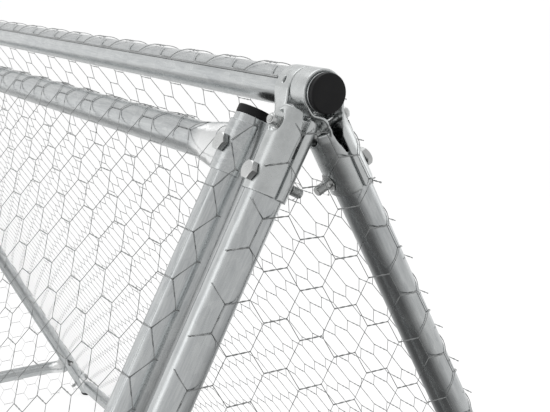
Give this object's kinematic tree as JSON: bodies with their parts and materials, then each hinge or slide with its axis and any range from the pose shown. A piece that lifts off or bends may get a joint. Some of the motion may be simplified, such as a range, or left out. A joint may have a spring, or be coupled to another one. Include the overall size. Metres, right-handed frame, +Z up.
{
  "type": "chicken cage",
  "caption": "Tent-shaped poultry cage of galvanised tube and hexagon wire netting, open below, with a framed drop-down door on one slope and turn latches.",
  "frame": {"origin": "on the ground, under the middle of the ridge", "axes": "+Z up, +Y along the ridge towards the rear gable, -X towards the door slope"},
  "size_m": [1.449, 2.4668, 1.3421],
  "materials": {
    "galvanised_tube": "hot-dip galvanised, soft streaks and spangle",
    "zinc_sheet": "galvanised pressed sheet, smooth satin",
    "zinc_fastener": "zinc plated, bright",
    "black_plastic": "moulded, fine matt",
    "wire_net": "galvanised wire"
  },
  "bodies": {
    "frame": {"base_rail_front": "galvanised_tube", "base_rail_rear": "galvanised_tube", "base_rail_right": "galvanised_tube", "bracket_bolts_lower": "zinc_fastener", "bracket_bolts_upper": "zinc_fastener", "bracket_nuts_lower": "zinc_fastener", "bracket_nuts_upper": "zinc_fastener", "foot_front_left": "black_plastic", "foot_front_right": "black_plastic", "foot_rear_left": "black_plastic", "foot_rear_right": "black_plastic", "gable_net_front": "wire_net", "gable_net_rear": "wire_net", "latch_nuts": "zinc_fastener", "latch_pivots": "zinc_fastener", "latch_saddle_front": "zinc_sheet", "latch_saddle_rear": "zinc_sheet", "latch_stop_front": "zinc_sheet", "latch_stop_rear": "zinc_sheet", "leg_front_left": "galvanised_tube", "leg_front_right": "galvanised_tube", "leg_rear_left": "galvanised_tube", "leg_rear_right": "galvanised_tube", "rail_bolts": "zinc_fastener", "rail_nuts": "zinc_fastener", "ridge_bracket_front_left": "zinc_sheet", "ridge_bracket_front_right": "zinc_sheet", "ridge_bracket_rear_left": "zinc_sheet", "ridge_bracket_rear_right": "zinc_sheet", "ridge_cap_front": "black_plastic", "ridge_cap_rear": "black_plastic", "ridge_tube": "galvanised_tube", "right_net": "wire_net", "sill_rail_left": "galvanised_tube"},
    "door": {"door_bolts": "zinc_fastener", "door_bottom_rail": "galvanised_tube", "door_cap_front_bottom": "black_plastic", "door_cap_front_top": "black_plastic", "door_cap_rear_bottom": "black_plastic", "door_cap_rear_top": "black_plastic", "door_net": "wire_net", "door_nuts": "zinc_fastener", "door_stile_front": "galvanised_tube", "door_stile_rear": "galvanised_tube", "door_top_rail": "galvanised_tube", "hinge_bolts": "zinc_fastener", "hinge_nuts": "zinc_fastener", "hinge_strap_inner_1": "zinc_sheet", "hinge_strap_inner_2": "zinc_sheet", "hinge_strap_inner_3": "zinc_sheet", "hinge_strap_outer_1": "zinc_sheet", "hinge_strap_outer_2": "zinc_sheet", "hinge_strap_outer_3": "zinc_sheet"},
    "latch_front": {"latch_bar_front": "zinc_sheet"},
    "latch_rear": {"latch_bar_rear": "zinc_sheet"}
  },
  "joints": [
    {"name": "door_hinge", "type": "hinge", "parent": "frame", "child": "door", "pos_m": [-0.67463, 0, 0.05121], "axis": [0, -1, 0], "range_deg": [0, 115]},
    {"name": "latch_front_turn", "type": "hinge", "parent": "frame", "child": "latch_front", "pos_m": [-0.32863, -1.2, 0.70194], "axis": [0.8829, 0, -0.4695], "range_deg": [0, 90]},
    {"name": "latch_rear_turn", "type": "hinge", "parent": "frame", "child": "latch_rear", "pos_m": [-0.32863, 1.2, 0.70194], "axis": [-0.8829, 0, 0.4695], "range_deg": [0, 90]}
  ]
}
